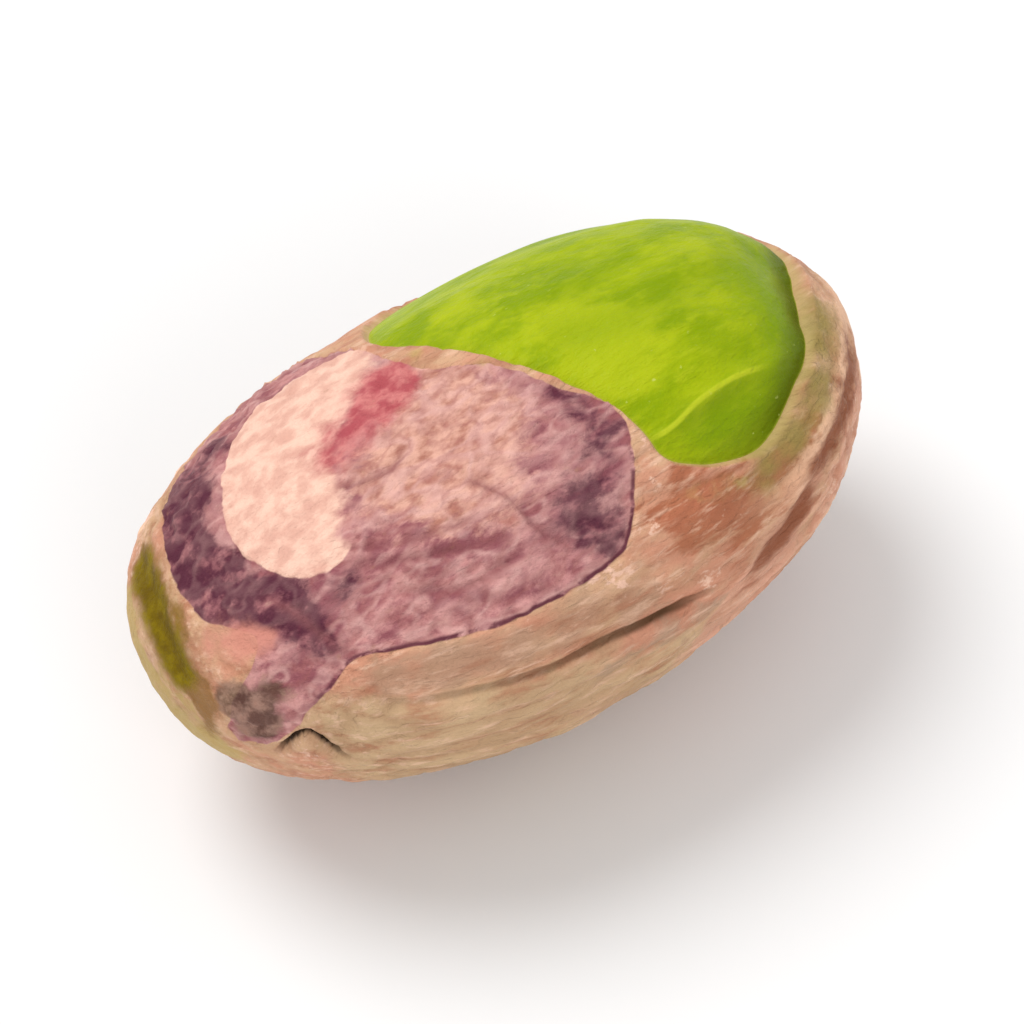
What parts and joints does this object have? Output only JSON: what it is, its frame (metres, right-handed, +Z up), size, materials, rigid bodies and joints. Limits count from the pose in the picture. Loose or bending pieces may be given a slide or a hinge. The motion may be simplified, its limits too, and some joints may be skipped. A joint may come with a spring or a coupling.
{
  "type": "pistachio kernel",
  "caption": "Shelled pistachio kernel: a blunt oval seed with a papery brown and purple coat, torn open over green flesh, lying on a small flat spot.",
  "frame": {"origin": "middle of the bounding box, on the flat spot that the kernel rests on", "axes": "+Z up from the flat spot, X along the kernel with its blunt stalk end at -X"},
  "size_m": [0.017, 0.0098, 0.0088],
  "materials": {
    "seed_coat": "matt, papery, tan with pinkish brown fibres and a purple patch",
    "green_flesh": "satin, waxy yellow-green, where the coat is torn away"
  },
  "bodies": {
    "root": {"kernel": "seed_coat"}
  },
  "joints": []
}
